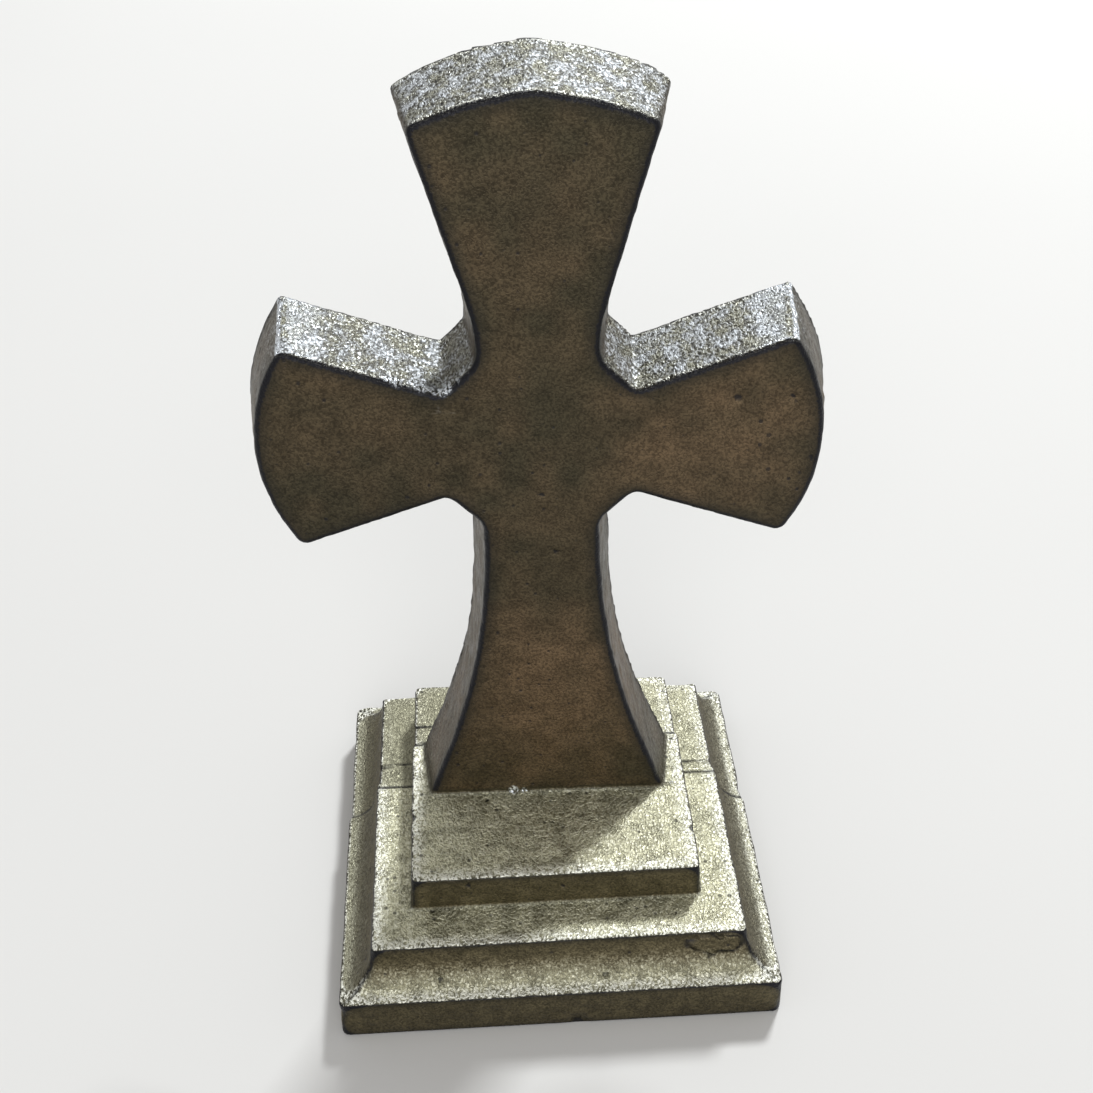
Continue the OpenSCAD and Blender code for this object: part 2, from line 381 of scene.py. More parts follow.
def casting(points, group, h, edge=None, nook=None):
    """The whole casting. edge and nook, where given, stand for every round and every fillet."""
    x, y, z = points
    cross = cross_field(x, y, z, group.cross, h, edge)
    plinth = plinth_field(x, y, z, group.plinth, h, edge, nook)
    return round_min(cross, plinth, nook or group.plinth.fillet)


# --- What the mould left on the skin ---------------------------------------------------------


def noise(points, size, seed):
    """Smooth noise from -1 to 1: random values on a lattice, blended by 3t^2 - 2t^3."""
    lattice = np.random.default_rng(seed).uniform(-1, 1, (LATTICE, LATTICE, LATTICE))
    cell = np.floor(points / size).astype(int)
    t = smooth(points / size - cell)
    total = 0
    for corner in np.ndindex(2, 2, 2):
        weight = 1
        for axis, one in enumerate(corner):
            weight = weight * (t[axis] if one else 1 - t[axis])
        place = tuple((cell[axis] + corner[axis]) % LATTICE for axis in range(3))
        total = total + weight * lattice[place]
    return total


# Flaws of the casting, in mm: place, radius and height. Those of the cross are in its own axes,
# across, depth and up from the crossing; those of the plinth in the part's axes.
CROSS_FLAWS = (
    ((40, 0, 10), 1.3, -0.5),         # blow hole in the right arm
    ((51, 0, 10), 0.8, -0.3),
    ((56, 0, -5), 0.9, -0.3),
    ((3, 0, -27), 0.9, -0.3),
    ((0, 0, -12), 0.9, -0.3),
    ((27, 0, -94.5), 1.9, -0.5),      # cold shut at the right of the stem's foot, with a drop
    ((29.5, 1, -96.5), 1.1, 0.6),
    ((-8, 0, -96.5), 1.5, 0.5),       # crumbs of sand along the foot
    ((-5.5, 0, -97), 1.0, 0.4),
    ((-12, 17, 65.5), 0.9, 0.5),      # grains on the upper arm's edge
    ((-25, 9, 67), 0.8, 0.4),
    ((22, 9, 53), 1.0, 0.5),
    ((18.5, 4, -13.5), 2.0, 0.7),     # lump under the right arm
    ((58.5, 6, 6), 1.1, 0.5),
)
PLINTH_FLAWS = (
    ((-20, -32.4, 28), 1.0, -0.4),    # pits in the front of the block
    ((1.5, -32.4, 26), 0.9, -0.3),
    ((3.5, -50.1, 0.5), 1.8, -1.2),   # nick in the slab's lower edge
    ((-49.3, -50.2, 6.5), 1.5, -1.0),
    ((-27, -46, 12.6), 1.0, -0.5),
    ((10, -46, 11.6), 1.2, -0.5),
    ((-15, -7.5, 30), 0.9, -0.4),
    ((50, 12, 10), 1.6, -0.6),
    ((32.6, -20, 29.8), 1.3, -0.4),
    ((-32.8, -12, 29.8), 1.4, -0.4),
)
BLISTER = (35.5, 17.4, 6.4, 2.3)      # across, up, half its width and half its height
BLISTER_SEED = 77


def flaws(points, table):
    """Sum of bumps and dents, each height * exp(-(distance / radius)^2), and the nearness to the
    closest one, from 1 at its middle to 0 at its rim, less than zero for a dent."""
    height, nearness = 0, 0
    for place, radius, rise in table:
        far = np.sqrt(sum((axis - at * MM) ** 2 for axis, at in zip(points, place))) / (radius * MM)
        height = height + rise * MM * np.exp(-far * far)
        near = np.clip(1 - far, 0, 1)
        nearness = np.where(near > np.abs(nearness), np.sign(rise) * near, nearness)
    return height, nearness


def groove(distance, width):
    """A groove or ridge of height one along distance = 0."""
    return np.exp(-((distance / width) ** 2))


def blister(points, h):
    """How far out a place is in the blister on the right of the front cove: 1 on its rim."""
    x, y, z = points
    ragged = 0.38 * noise(points, 1.9 * MM, BLISTER_SEED)
    across, up, half_width, half_height = BLISTER
    out = np.hypot((x - across * MM) / (half_width * MM), (z - up * MM) / (half_height * MM)) + ragged
    return np.where(y < h["block_front"], out, 9.0)


def cove_runs(x, y, s, h):
    """How far in from the slab's sides and from its front or back a place is, in runs of the
    cove."""
    return (s.slab_half - np.abs(x)) / s.cove_side, (h["half_depth"] - np.abs(y)) / s.cove_front


# Lines across the level surfaces of the plinth: the surface, the hand (-1 left, 1 right, 0 both)
# and the place behind the middle, in mm. The line on both hands is the parting line.
BLOCK_PARTING, LEDGE_PARTING = 13, 8.1
LEVEL_LINES = (
    ("block", 0, BLOCK_PARTING), ("block", -1, 19.3),
    ("ledge", 0, LEDGE_PARTING), ("ledge", -1, 15.8), ("ledge", 1, 11.7),
)


def seams(points, group, h):
    """Distance to the nearest line: where the halves of the mould met, the mitres of the cove and
    the rim of the blister."""
    s = group.plinth
    x, y, z = points
    wobble = 0.45 * MM * noise(points, 7 * MM, group.relief.seed + 4)
    away = 9 * MM

    def line(at, here):
        return np.where(here, np.abs(y + wobble - at), away)

    side = (np.abs(x) > s.block_half) & (z < h["ledge"] - MM) & (z > 0.5 * MM)
    nearest = line(h["low_parting"], side)
    for level, hand, at in LEVEL_LINES:
        here = np.abs(z - h[level]) < 0.9 * MM
        if hand:
            here = here & (hand * x > group.cross.neck_width / 2)
        nearest = np.minimum(nearest, line(at * MM, here))
    in_side, in_front = cove_runs(x, y, s, h)
    in_corner = (in_side < 1.1) & (in_front < 1.1)
    in_cove = in_corner & (z > s.slab_height - 0.5 * MM) & (z < h["ledge"] + 0.5 * MM)
    mitre = np.abs(in_side - in_front) * 4.5 * MM + 0.2 * MM
    nearest = np.minimum(nearest, np.where(in_cove, mitre, away))
    return np.minimum(nearest, np.abs(blister(points, h) - 1) * 2.6 * MM + 0.15 * MM)


def flash(points, group, h):
    """The jagged fin of iron on the front edge of the left arm, near the crossing: 0 to 1."""
    across, depth, up = cross_axes(*points, group.cross, h)
    along = smooth((-across - 15 * MM) / MM) * smooth((32 * MM + across) / (3 * MM))
    jag = 0.5 + 0.7 * noise(points, 1.6 * MM, group.relief.seed + 8)
    on_edge = groove(depth - 1.2 * MM, 0.9 * MM) * ((up > 8 * MM) & (up < 22 * MM))
    return on_edge * along * np.clip(jag, 0, 1)


SWELL_SIZES = (9 * MM, 4.2 * MM)      # sizes of the unevenness that the mould gave the skin
LUMP_SIZE = 2.1 * MM
GRAIN_PITCH = 1.15 * MM
LINE_DEPTH = 0.4 * MM                 # how deep the lines are sunk
FLASH_HEIGHT = 0.45 * MM              # how high the fin on the left arm stands
BLISTER_HEIGHT = 0.35 * MM
LEDGE_DROP = 0.25 * MM                # how much lower the rear half of the ledge lies
FIN_HEIGHT = 0.16 * MM                # how high the fin round the back stands


def relief(points, group, h):
    """Height of the cast surface over the true shape: swells, lumps, coarse grain and flaws. The
    face of the cross is smoother, and the underside is flat."""
    r = group.relief
    x, y, z = points
    axes = cross_axes(x, y, z, group.cross, h)
    depth = axes[1]
    swell = noise(points, SWELL_SIZES[0], r.seed) + 0.6 * noise(points, SWELL_SIZES[1], r.seed + 1)
    lump = noise(points, LUMP_SIZE, r.seed + 2)
    grain = noise(points, GRAIN_PITCH, r.seed + 3)
    on_face = (1 - smooth(depth / (1.5 * MM))) * (z > h["block"] + MM)
    height = r.swell * swell * (1 - 0.5 * on_face)
    height = height + (r.lump * lump + r.grain * grain) * (1 - 0.65 * on_face)
    height = height + flaws(axes, CROSS_FLAWS)[0] + flaws(points, PLINTH_FLAWS)[0]
    height = height - LINE_DEPTH * groove(seams(points, group, h), 0.6 * MM)
    height = height + FLASH_HEIGHT * flash(points, group, h)
    height = height + BLISTER_HEIGHT * smooth((1.1 - blister(points, h)) / 0.3)
    # The rear half of the mould stood lower on the ledge, and the flat back has a low fin round it
    on_ledge = np.abs(z - h["ledge"]) < 0.8 * MM
    height = height - LEDGE_DROP * on_ledge * smooth((y - 8 * MM) / (2 * MM))
    fin = groove(depth - group.cross.thickness + 0.7 * MM, 0.45 * MM) * (z > h["block"] + 2 * MM)
    height = height + FIN_HEIGHT * fin * (1 + noise(points, 6 * MM, r.seed + 5))
    return height * smooth(z / (1.2 * MM))


def warm_tone_and_shade(points, group, h):
    """On the cross, how brown the paint is: broad noise, and more on the right arm and low on the stem.
    On the plinth, painted shade that dulls the paint on its rear half and on its side coves, most of all
    on the left."""
    across, _, up = cross_axes(*points, group.cross, h)
    arm_patch = groove(np.hypot(across - 38 * MM, up + 3 * MM), 17 * MM)
    stem_patch = groove(np.hypot(1.6 * across, up + 66 * MM), 26 * MM)
    seed = group.relief.seed
    broad = 0.25 * noise(points, 23 * MM, seed + 6) + 0.25 * noise(points, 6 * MM, seed + 7)
    on_cross = np.clip(0.15 + broad + 0.7 * arm_patch + stem_patch, 0, 1)
    x, y, z = points
    line = np.where(z > h["ledge"] + 4 * MM, BLOCK_PARTING * MM, LEDGE_PARTING * MM)
    in_side, in_front = cove_runs(x, y, group.plinth, h)
    side_cove = smooth(1.15 - in_side) * smooth((in_front - in_side) / 0.15) * (z < h["ledge"] + MM)
    # Painted shade on the plinth: behind the parting line, and on the side coves, most of all on the left
    on_plinth = smooth((y - line) / (1.2 * MM)) * (0.35 + 0.65 * (x < 0))
    on_plinth = np.maximum(on_plinth, side_cove * (0.5 + 0.5 * (x < 0)))
    return np.where(z > h["block"] + MM, on_cross, on_plinth)


# --- From the field to a closed surface ------------------------------------------------------


def surface_net(field, origin, cell):
    """Closed quads where the field changes sign: one vertex in each grid cell that the surface
    crosses, at the mean of the crossings on its edges, and one quad round each crossed edge."""
    inside = field < 0
    cut = [slice(0, -1), slice(1, None)]
    count = sum(inside[cut[i], cut[j], cut[k]].astype(np.int8) for i, j, k in np.ndindex(2, 2, 2))
    cells = np.argwhere((count > 0) & (count < 8))
    index = np.full(count.shape, -1)
    index[tuple(cells.T)] = np.arange(len(cells))
    total, crossings = np.zeros((len(cells), 3)), np.zeros(len(cells))
    quads = []
    for axis in range(3):
        step = np.eye(3, dtype=int)[axis]
        beside, over = np.eye(3, dtype=int)[(axis + 1) % 3], np.eye(3, dtype=int)[(axis + 2) % 3]
        for corner in (0 * step, beside, over, beside + over):
            low, high = field[tuple((cells + corner).T)], field[tuple((cells + corner + step).T)]
            crossed = (low < 0) != (high < 0)
            share = low / np.where(crossed, low - high, 1)
            total += crossed[:, None] * (corner + step * share[:, None])
            crossings += crossed
        near = [slice(None)] * 3
        far = [slice(None)] * 3
        near[axis], far[axis] = cut
        leaves = inside[tuple(near)] & ~inside[tuple(far)]
        enters = ~inside[tuple(near)] & inside[tuple(far)]
        for crossed, order in ((leaves, (0, 1, 2, 3)), (enters, (3, 2, 1, 0))):
            at = np.argwhere(crossed)
            ring = [-beside - over, -over, 0 * step, -beside]
            quads.append(np.stack([index[tuple((at + ring[k]).T)] for k in order], axis=1))
    points = origin + cell * (cells + total / crossings[:, None])
    return points, np.concatenate(quads)


def slope(function, points):
    """The gradient of a field by central differences."""
    parts = []
    for axis in range(3):
        shift = np.zeros((3, 1))
        shift[axis] = NUDGE
        parts.append((function(points + shift) - function(points - shift)) / (2 * NUDGE))
    return np.array(parts)


def settle(function, points):
    """Moves points onto the zero of a field: each round takes off field * gradient / gradient^2."""
    for _ in range(SETTLE_ROUNDS):
        gradient = slope(function, points)
        length_squared = np.maximum((gradient**2).sum(0), 0.05)
        move = np.clip(function(points) / length_squared, -LONGEST_MOVE, LONGEST_MOVE)
        points = points - move * gradient
    return points


def distance_to_edge(change):
    """Turns the change that a large round of radius R makes to the field into the distance from
    the edge: R - sqrt((change + R)^2 - R^2)."""
    change = np.maximum(change, 0)
    inner = np.maximum((change + MASK_REACH) ** 2 - MASK_REACH**2, 0)
    return np.maximum(MASK_REACH - np.sqrt(inner), 0)


def cast_skin(group):
    """Points, quads, normals and wear masks of the casting's skin."""
    h = levels(group)
    cell = group.relief.cell
    margin = 2 * cell
    counts = np.ceil((HIGH - LOW + 2 * margin) / cell).astype(int) + 1
    origin = LOW - margin + GRID_SHIFT * cell
    grid = [origin[k] + cell * np.arange(counts[k]) for k in range(3)]
    field = np.empty(counts, np.float32)
    for i, x in enumerate(grid[0]):
        y, z = np.meshgrid(grid[1], grid[2], indexing="ij")
        field[i] = casting((np.full_like(y, x), y, z), group, h)
    points, quads = surface_net(field, origin, cell)

    def true_shape(p):
        return casting(p, group, h)

    def cast_shape(p):
        return casting(p, group, h) - relief(p, group, h)

    points = settle(true_shape, points.T)
    sharp = casting(points, group, h, edge=SHARP, nook=SHARP)
    edge = distance_to_edge(casting(points, group, h, edge=MASK_REACH, nook=SHARP) - sharp)
    nook = distance_to_edge(sharp - casting(points, group, h, edge=SHARP, nook=MASK_REACH))
    facing = slope(true_shape, points)
    facing = facing / np.linalg.norm(facing, axis=0)
    points = settle(cast_shape, points)
    normals = slope(cast_shape, points)
    normals = normals / np.linalg.norm(normals, axis=0)
    points = np.clip(points, LOW[:, None], HIGH[:, None])
    axes = cross_axes(*points, group.cross, h)
    flaw = flaws(axes, CROSS_FLAWS)[1] + flaws(points, PLINTH_FLAWS)[1] + flash(points, group, h)
    on_cross = smooth((points[2] - h["block"]) / (1.2 * MM))
    pit_across, pit_depth, pit_radius = PIT_PATCH
    # Distances are in mm, and count double along the plinth's edges, because less of them is worn
    masks = {
        "edge": edge / MM * (2 - on_cross),
        "nook": nook / MM,
        "up": facing[2],
        "front": -facing[1],
        "side": np.abs(facing[0]),
        "seam": np.minimum(seams(points, group, h) / MM, 3),
        "flaw": flaw,
        "cross": on_cross,
        "tip": smooth((np.abs(axes[0]) - TIP_OUT) / (4 * MM)) * on_cross,
        "pitted": groove(np.hypot(axes[0] - pit_across, axes[1] - pit_depth), pit_radius) * (axes[2] > 0),
        # Brown blotches on the cross, and painted shade on the plinth
        "warm": warm_tone_and_shade(points, group, h),
    }
    return points.T, quads, normals.T, masks


def new_mesh_object(name, points, quads):
    """A mesh object at the origin."""
    mesh = bpy.data.meshes.new(name)
    mesh.from_pydata(points, [], quads)
    mesh.update()
    made = bpy.data.objects.new(name, mesh)
    bpy.context.scene.collection.objects.link(made)
    return made


# --- Shader nodes ----------------------------------------------------------------------------


def add(tree, kind, inputs=None, **settings):
    """Adds a node, sets its properties, and sets or links its inputs."""
    made = tree.nodes.new(kind)
    for name, value in settings.items():
        setattr(made, name, value)
    for key, value in (inputs or {}).items():
        if isinstance(value, bpy.types.NodeSocket):
            tree.links.new(value, made.inputs[key])
        else:
            made.inputs[key].default_value = value
    return made


def calc(tree, operation, a, b=0.0, c=0.0):
    """One step of arithmetic."""
    return add(tree, "ShaderNodeMath", {0: a, 1: b, 2: c}, operation=operation).outputs[0]


def ramp(tree, value, low, high, start=0.0, end=1.0):
    """Goes smoothly from start to end as the value goes from low to high."""
    inputs = {"Value": value, "From Min": low, "From Max": high, "To Min": start, "To Max": end}
    return add(tree, "ShaderNodeMapRange", inputs, interpolation_type="SMOOTHSTEP").outputs[0]


def blend(tree, share, a, b, mode="MIX"):
    """Mixes two colours."""
    mixed = add(tree, "ShaderNodeMix", {0: share, 6: a, 7: b}, data_type="RGBA", blend_type=mode)
    return mixed.outputs[2]


def rgba(value):
    """A colour property as four numbers."""
    return (*value, 1.0)


def node_group(name, inputs, outputs):
    """An empty node group with named sockets: (name, socket type, default value)."""
    tree = bpy.data.node_groups.new(name, "ShaderNodeTree")
    for socket_name, kind, value in inputs:
        socket = tree.interface.new_socket(socket_name, in_out="INPUT", socket_type=kind)
        if value is not None:
            socket.default_value = value
    for socket_name, kind in outputs:
        tree.interface.new_socket(socket_name, in_out="OUTPUT", socket_type=kind)
    return tree, tree.nodes.new("NodeGroupInput").outputs, tree.nodes.new("NodeGroupOutput").inputs


def sand_grain_group():
    """Cast sand grain: twisted noise of the grain's size, with its crests and its gaps."""
    tree, given, result = node_group(
        "Sand Grain",
        [("Vector", "NodeSocketVector", None), ("Size", "NodeSocketFloat", 0.0006),
         ("Twist", "NodeSocketFloat", 0.6)],
        [("Height", "NodeSocketFloat"), ("Crest", "NodeSocketFloat"), ("Gap", "NodeSocketFloat")],
    )
    sand = add(tree, "ShaderNodeTexNoise", {
        "Vector": given["Vector"], "Scale": calc(tree, "DIVIDE", 1.0, given["Size"]),
        "Detail": 2.0, "Roughness": 0.55, "Distortion": given["Twist"],
    })
    height = ramp(tree, sand.outputs[0], 0.28, 0.72)
    tree.links.new(height, result["Height"])
    tree.links.new(ramp(tree, height, 0.5, 0.95), result["Crest"])
    tree.links.new(ramp(tree, height, 0.42, 0.1), result["Gap"])
    return tree


def ragged_edge_group():
    """A band along an edge, whose far side is broken up by coarse and fine noise."""
    tree, given, result = node_group(
        "Ragged Edge",
        [("Distance", "NodeSocketFloat", 0.0), ("Width", "NodeSocketFloat", 0.8),
         ("Ragged", "NodeSocketFloat", 0.6), ("Soft", "NodeSocketFloat", 0.2),
         ("Noise", "NodeSocketFloat", 0.5)],
        [("Mask", "NodeSocketFloat")],
    )
    wander = calc(tree, "MULTIPLY", calc(tree, "SUBTRACT", given["Noise"], 0.5), given["Ragged"])
    over = calc(tree, "SUBTRACT", calc(tree, "ADD", given["Width"], wander), given["Distance"])
    share = calc(tree, "MULTIPLY_ADD", calc(tree, "DIVIDE", over, given["Soft"]), 0.5, 0.5)
    tree.links.new(ramp(tree, share, 0.0, 1.0), result["Mask"])
    return tree


def scattered_pits_group():
    """Small round pits at the middles of some of the cells of a coarse cell pattern."""
    tree, given, result = node_group(
        "Scattered Pits",
        [("Vector", "NodeSocketVector", None), ("Spacing", "NodeSocketFloat", 0.003),
         ("Share", "NodeSocketFloat", 0.4)],
        [("Mask", "NodeSocketFloat")],
    )
    scale = calc(tree, "DIVIDE", 1.0, given["Spacing"])
    cells = add(tree, "ShaderNodeTexVoronoi", {"Vector": given["Vector"], "Scale": scale})
    pick = add(tree, "ShaderNodeSeparateColor", {0: cells.outputs["Color"]})
    chosen = calc(tree, "LESS_THAN", pick.outputs[0], given["Share"])
    radius = ramp(tree, pick.outputs[1], 0.0, 1.0, 0.09, 0.24)
    disc = ramp(tree, calc(tree, "SUBTRACT", radius, cells.outputs["Distance"]), -0.05, 0.10)
    tree.links.new(calc(tree, "MULTIPLY", disc, chosen), result["Mask"])
    return tree


def bronzed_iron(paint):
    """Gold-bronze paint on sand-cast iron: pale and grainy on top, olive and finer on the upright faces,
    black along the edges and in the pits. Light and shade are painted in too: the tops are partly painted
    light and the upright faces partly painted shade, with painted glints and highlights, and painted
    shade in the corners."""
    material = bpy.data.materials.new("Bronzed Iron")
    material.use_nodes = True
    tree = material.node_tree
    tree.nodes.clear()
    grain_group, edge_group, pit_group = sand_grain_group(), ragged_edge_group(), scattered_pits_group()

    def attribute(name):
        return add(tree, "ShaderNodeAttribute", attribute_name=name).outputs["Fac"]

    def band(distance, width, ragged, soft, stir):
        values = {"Distance": distance, "Width": width, "Ragged": ragged, "Soft": soft, "Noise": stir}
        return add(tree, "ShaderNodeGroup", values, node_tree=edge_group).outputs["Mask"]

    def joined(operation, masks):
        result = masks[0]
        for mask in masks[1:]:
            result = calc(tree, operation, result, mask)
        return result

    def times(*masks):
        return joined("MULTIPLY", masks)

    def most(*masks):
        return joined("MAXIMUM", masks)

    def rest(mask):
        return calc(tree, "SUBTRACT", 1.0, mask)

    def over(under, share, finish):
        return blend(tree, share, under, rgba(finish))

    place = add(tree, "ShaderNodeTexCoord").outputs["Object"]
    stretched = add(tree, "ShaderNodeMapping", {"Vector": place, "Scale": (1.0, 0.7, 1.0)}).outputs[0]
    names = ("edge", "nook", "up", "front", "side", "seam", "flaw", "pitted", "warm", "cross", "tip")
    edge, nook, up, front, side, seam, flaw, pitted, warm, cross, tip = (attribute(n) for n in names)
    sand = add(tree, "ShaderNodeGroup", {
        "Vector": stretched, "Size": paint.grain_size,
    }, node_tree=grain_group)
    crest, gap, height = (sand.outputs[n] for n in ("Crest", "Gap", "Height"))
    patch = add(tree, "ShaderNodeTexNoise", {
        "Vector": place, "Scale": PATCHES_PER_METRE, "Detail": 4.0, "Roughness": 0.62,
    }).outputs[0]
    pits = add(tree, "ShaderNodeGroup", {
        "Vector": place, "Spacing": paint.pit_spacing,
        "Share": calc(tree, "MULTIPLY_ADD", pitted, 0.6, 0.3),
    }, node_tree=pit_group)

    # How far a place faces up, unsettled by the grain, decides between the pale top colours and the dark
    # upright ones. This split is partly the paint and partly painted light and shade.
    stir = calc(tree, "SUBTRACT", calc(tree, "MULTIPLY_ADD", patch, 0.6, times(height, 0.4)), 0.5)
    facing_up = calc(tree, "MULTIPLY_ADD", stir, 0.5, up)
    lit = ramp(tree, facing_up, 0.28, 1.0)
    beside = ramp(tree, facing_up, 0.8, 0.5)

    # Upright surfaces: olive with warm blotches, mottled by patches and by the grain. The olive is darker
    # in part as painted shade.
    upright = blend(tree, cross, rgba(paint.plinth_olive), rgba(paint.olive))
    upright = over(upright, times(warm, cross), paint.umber)
    mottle = times(ramp(tree, patch, 0.36, 0.64, 0.86, 1.18), ramp(tree, height, 0.0, 1.0, 0.68, 1.36))
    grey = add(tree, "ShaderNodeCombineColor", {0: mottle, 1: mottle, 2: mottle}).outputs[0]
    upright = blend(tree, 1.0, upright, grey, "MULTIPLY")

    # Upper surfaces: gold on the plinth and steel on the cross, with painted glints on the crests of the
    # grain, duller in patches, darker as painted shade behind the parting line and on the plinth's
    # sideways surfaces, and dark between the grains, partly grime and partly painted shade
    steel_and_side_shade = most(cross, ramp(tree, side, 0.2, 0.6))
    not_cross = rest(cross)
    dull_and_painted_shade = most(times(warm, not_cross, 0.9), times(steel_and_side_shade, not_cross, 0.5))
    tops = blend(tree, steel_and_side_shade, rgba(paint.gold), rgba(paint.steel))
    crest_glint = blend(tree, cross, rgba(paint.pale), rgba(paint.bright))
    tops = blend(tree, times(crest, ramp(tree, cross, 0.0, 1.0, 0.33, 0.55)), tops, crest_glint)
    tops = over(tops, ramp(tree, patch, 0.56, 0.36, 0.0, 0.6), paint.dull)
    tops = over(tops, times(ramp(tree, patch, 0.5, 0.64), cross, 0.45), paint.bright)
    tops = over(tops, dull_and_painted_shade, paint.dull)
    # Painted shade: the plinth's surfaces that face sideways get the darker olive.
    tops = over(tops, times(steel_and_side_shade, not_cross, 0.55), paint.plinth_olive)
    tops = over(tops, times(gap, ramp(tree, cross, 0.0, 1.0, 0.4, 0.8)), paint.grime_and_shade)
    # Painted sheen towards the edges of the plinth's upper surfaces, and a painted highlight along the
    # rounded upper edges, broken into teeth by the grain, with dark gaps between the teeth
    away = rest(most(steel_and_side_shade, dull_and_painted_shade))
    painted_edge_sheen = times(band(edge, 5.0, 4.0, 4.0, patch), ramp(tree, up, 0.7, 0.95), away)
    tops = over(tops, times(painted_edge_sheen, ramp(tree, height, 0.15, 0.55), 0.85), paint.pale)
    rim = times(band(edge, 1.2, 0.9, 0.4, patch), ramp(tree, up, 0.45, 0.8))
    teeth = ramp(tree, height, 0.35, 0.6)
    tops = over(tops, times(rim, teeth, 0.9), paint.pale)
    tops = over(tops, times(rim, rest(teeth), 0.5), paint.grime_and_shade)

    coat = blend(tree, lit, upright, tops)
    # Painted shade in the inner corners, and a soft dark band along the edges of the upright faces,
    # partly patina and partly a painted dark reflection on the rounded edges
    coat = over(coat, times(ramp(tree, nook, 1.4, 0.1), 0.35), paint.grime_and_shade)
    shade = times(band(edge, 2.1, 1.2, 2.4, patch), beside)
    coat = over(coat, times(shade, 0.75), paint.grime_and_shade)
    # Bare iron along the edges, in the lines and in the pits
    ragged_noise = calc(tree, "MULTIPLY_ADD", height, 0.5, times(patch, 0.5))
    worn = times(band(edge, paint.wear / MM, paint.ragged / MM, 0.3, ragged_noise), beside)
    worn_top = times(band(edge, 0.62, 2.2, 0.25, ragged_noise), cross, ramp(tree, lit, 0.2, 0.6))
    line = band(seam, 0.5, 0.7, 0.35, patch)
    holes = most(times(pits.outputs[0], 0.8), ramp(tree, flaw, -0.15, -0.4))
    bare = most(worn, worn_top, times(line, 0.9), times(holes, 0.85))
    coat = over(coat, bare, paint.iron)
    # Rubbed bright metal on the raised flaws, partly painted glints, and a painted highlight along the
    # sharp upper corners of the side arms
    corner = times(
        tip, ramp(tree, up, 0.56, 0.62), ramp(tree, up, 0.95, 0.9), ramp(tree, front, 0.5, 0.3),
        ramp(tree, height, 0.0, 0.3),
    )
    raised = times(ramp(tree, flaw, 0.1, 0.35), teeth)
    rubbed = most(times(corner, 0.9), times(raised, 0.85))
    coat = over(coat, rubbed, paint.bright)

    grain_height = times(height, ramp(tree, lit, 0.0, 1.0, 0.3, 1.0))
    bump_height = calc(tree, "SUBTRACT", grain_height, times(holes, 0.5))
    bump = add(tree, "ShaderNodeBump", {
        "Strength": 1.0, "Distance": paint.grain_height, "Height": bump_height,
    })
    worked = ramp(tree, patch, 0.35, 0.65, paint.smoothest, paint.roughest)
    shader = add(tree, "ShaderNodeBsdfPrincipled", {
        "Base Color": coat, "Metallic": paint.metal, "Normal": bump.outputs[0],
        "Roughness": calc(tree, "MULTIPLY_ADD", rubbed, -0.2, worked),
    })
    output = add(tree, "ShaderNodeOutputMaterial")
    tree.links.new(shader.outputs[0], output.inputs[0])
    return material


def pale_floor(studio):
    """Plain pale floor with a faint broad mottle."""
    material = bpy.data.materials.new("Pale Floor")
    material.use_nodes = True
    tree = material.node_tree
    shader = tree.nodes["Principled BSDF"]
    place = add(tree, "ShaderNodeTexCoord").outputs["Object"]
    cloud = add(tree, "ShaderNodeTexNoise", {"Vector": place, "Scale": 3.0, "Detail": 2.0})
    shade = rgba([0.97 * value for value in studio.floor])
    tint = blend(tree, ramp(tree, cloud.outputs[0], 0.3, 0.7, 0.0, 0.5), rgba(studio.floor), shade)
    tree.links.new(tint, shader.inputs["Base Color"])
    shader.inputs["Roughness"].default_value = 0.85
    shader.inputs["Specular IOR Level"].default_value = 0.2
    return material


def studio_world(studio):
    """Even light from all round, and a pale backdrop for the camera and for reflections."""
    world = bpy.data.worlds.new("Studio")
    world.use_nodes = True
    tree = world.node_tree
    tree.nodes.clear()
    path = add(tree, "ShaderNodeLightPath")
    reflected = calc(tree, "MAXIMUM", path.outputs["Is Glossy Ray"], path.outputs["Is Transmission Ray"])
    seen = calc(tree, "MAXIMUM", path.outputs["Is Camera Ray"], reflected)
    ambient = add(tree, "ShaderNodeBackground", {"Color": (1, 1, 1, 1), "Strength": studio.sky})
    backdrop = add(tree, "ShaderNodeBackground", {"Color": rgba(studio.backdrop), "Strength": 1.0})
    mixed = add(tree, "ShaderNodeMixShader", {0: seen, 1: ambient.outputs[0], 2: backdrop.outputs[0]})
    output = add(tree, "ShaderNodeOutputWorld")
    tree.links.new(mixed.outputs[0], output.inputs[0])
    bpy.context.scene.world = world


def lamp(name, target, place, size, power, tint):
    """A square soft lamp at a place, turned to a target."""
    data = bpy.data.lights.new(name, "AREA")
    data.color = tint
    data.size = size
    data.energy = power
    made = bpy.data.objects.new(name, data)
    made.location = place
    made.rotation_euler = (Vector(target) - Vector(place)).to_track_quat("-Z", "Y").to_euler()
    bpy.context.scene.collection.objects.link(made)


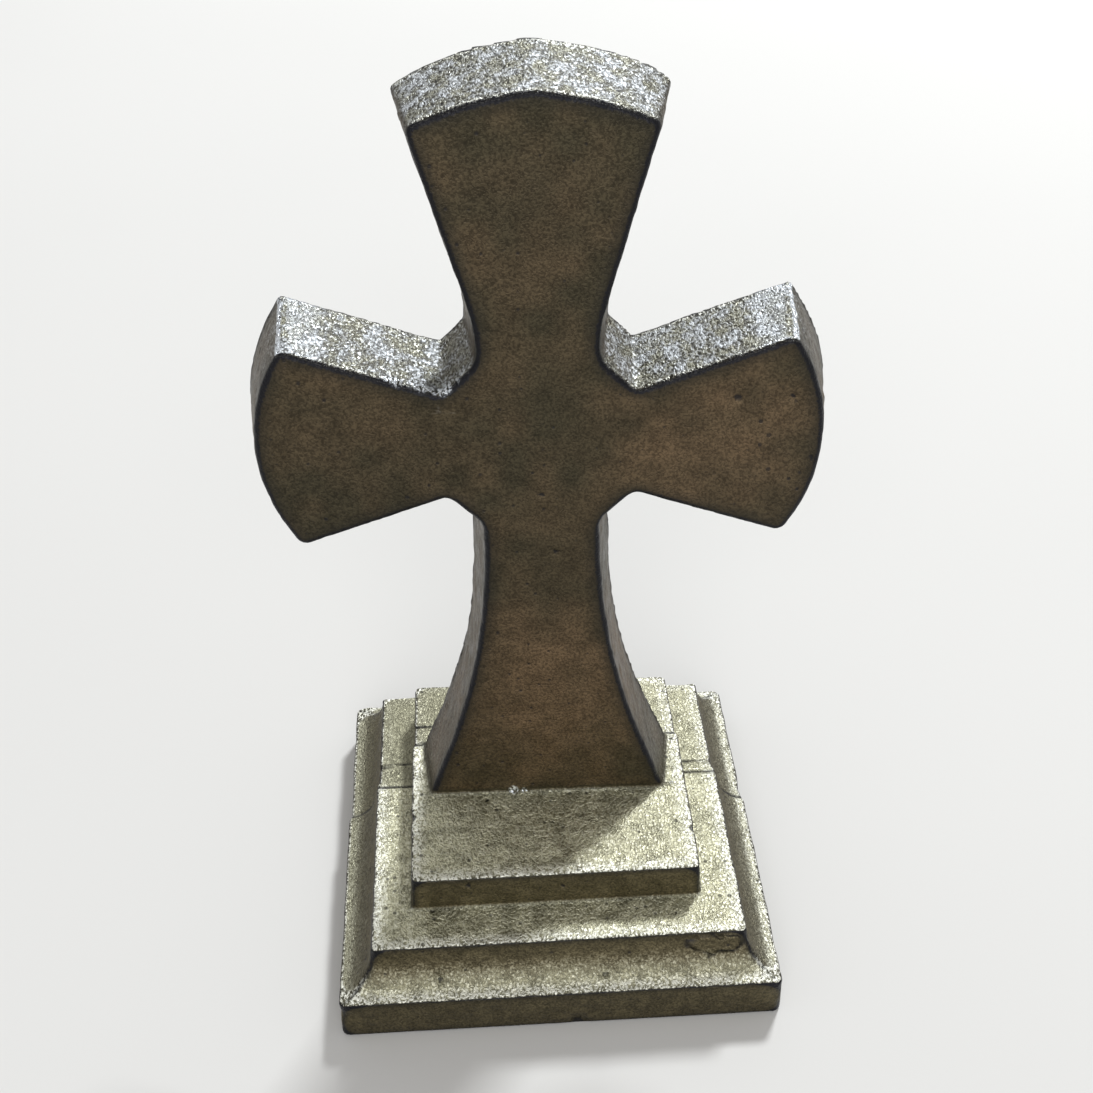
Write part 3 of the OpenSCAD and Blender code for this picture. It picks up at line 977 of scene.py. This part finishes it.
class IRON_OT_casting(bpy.types.Operator):
    """Makes the skin of the casting and paints it"""

    bl_idname = "iron.casting"
    bl_label = "Cross and Plinth"

    def execute(self, context):
        group = context.scene.iron_cross
        points, quads, normals, masks = cast_skin(group)
        if len(quads) == 0:
            raise RuntimeError("the casting has no surface: check its sizes")
        piece = new_mesh_object("cross_skin", points, quads)
        mesh = piece.data
        mesh.shade_smooth()
        mesh.normals_split_custom_set_from_vertices(normals)
        for name, values in masks.items():
            attribute = mesh.attributes.new(name, "FLOAT", "POINT")
            attribute.data.foreach_set("value", values.astype(np.float32))
        mesh.materials.append(bronzed_iron(group.paint))
        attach(piece, "root")
        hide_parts("grave_cross")
        print("cross_skin has", len(points), "vertices and", 2 * len(quads), "triangles")
        return {"FINISHED"}


class IRON_OT_studio(bpy.types.Operator):
    """Makes the floor, the lamps, the world and the camera"""

    bl_idname = "iron.studio"
    bl_label = "Studio"

    def execute(self, context):
        studio = context.scene.iron_cross.studio
        reach = studio.floor_reach
        corners = [(-reach, -reach, 0), (reach, -reach, 0), (reach, reach, 0), (-reach, reach, 0)]
        floor = new_mesh_object("floor", corners, [(0, 1, 2, 3)])
        floor.data.materials.append(pale_floor(studio))
        studio_world(studio)
        aim = studio.aim
        lamp("key", aim, studio.key_place, studio.key_size, studio.key_power, studio.key_tint)
        lamp("fill", aim, studio.fill_place, studio.fill_size, studio.fill_power, studio.fill_tint)
        camera = bpy.data.objects.new("camera", bpy.data.cameras.new("camera"))
        camera.data.lens = studio.lens
        camera.data.clip_start = 0.01
        forward = Vector((
            math.sin(studio.heading) * math.cos(studio.dip),
            math.cos(studio.heading) * math.cos(studio.dip),
            -math.sin(studio.dip),
        ))
        level_right = Vector((math.cos(studio.heading), -math.sin(studio.heading), 0))
        turn = Matrix.Rotation(-studio.roll, 3, forward)
        right = turn @ level_right
        up = right.cross(forward)
        axes = Matrix((right, up, -forward)).transposed().to_4x4()
        camera.matrix_world = Matrix.Translation(studio.eye) @ axes
        context.scene.collection.objects.link(camera)
        context.scene.camera = camera
        context.scene.view_settings.view_transform = "Standard"
        return {"FINISHED"}


class IRON_PT_cross(bpy.types.Panel):
    """Sizes, finish and stage of the cross"""

    bl_idname = "IRON_PT_cross"
    bl_label = "Iron Cross"
    bl_space_type = "VIEW_3D"
    bl_region_type = "UI"
    bl_category = "Iron Cross"

    def draw(self, context):
        group = context.scene.iron_cross
        for part in (group.cross, group.plinth, group.relief, group.paint, group.studio):
            box = self.layout.box()
            for name in part.bl_rna.properties.keys():
                if name not in ("rna_type", "name"):
                    box.prop(part, name)
        self.layout.operator("iron.casting")
        self.layout.operator("iron.studio")


CLASSES = (
    CrossSizes, PlinthSizes, CastRelief, BronzePaint, Studio, IronCross,
    IRON_OT_casting, IRON_OT_studio, IRON_PT_cross,
)


def register():
    for item in CLASSES:
        bpy.utils.register_class(item)
    bpy.types.Scene.iron_cross = PointerProperty(type=IronCross)


def unregister():
    del bpy.types.Scene.iron_cross
    for item in reversed(CLASSES):
        bpy.utils.unregister_class(item)


def main():
    register()
    bpy.ops.iron.studio()
    bpy.ops.iron.casting()


if __name__ == "__main__":
    main()
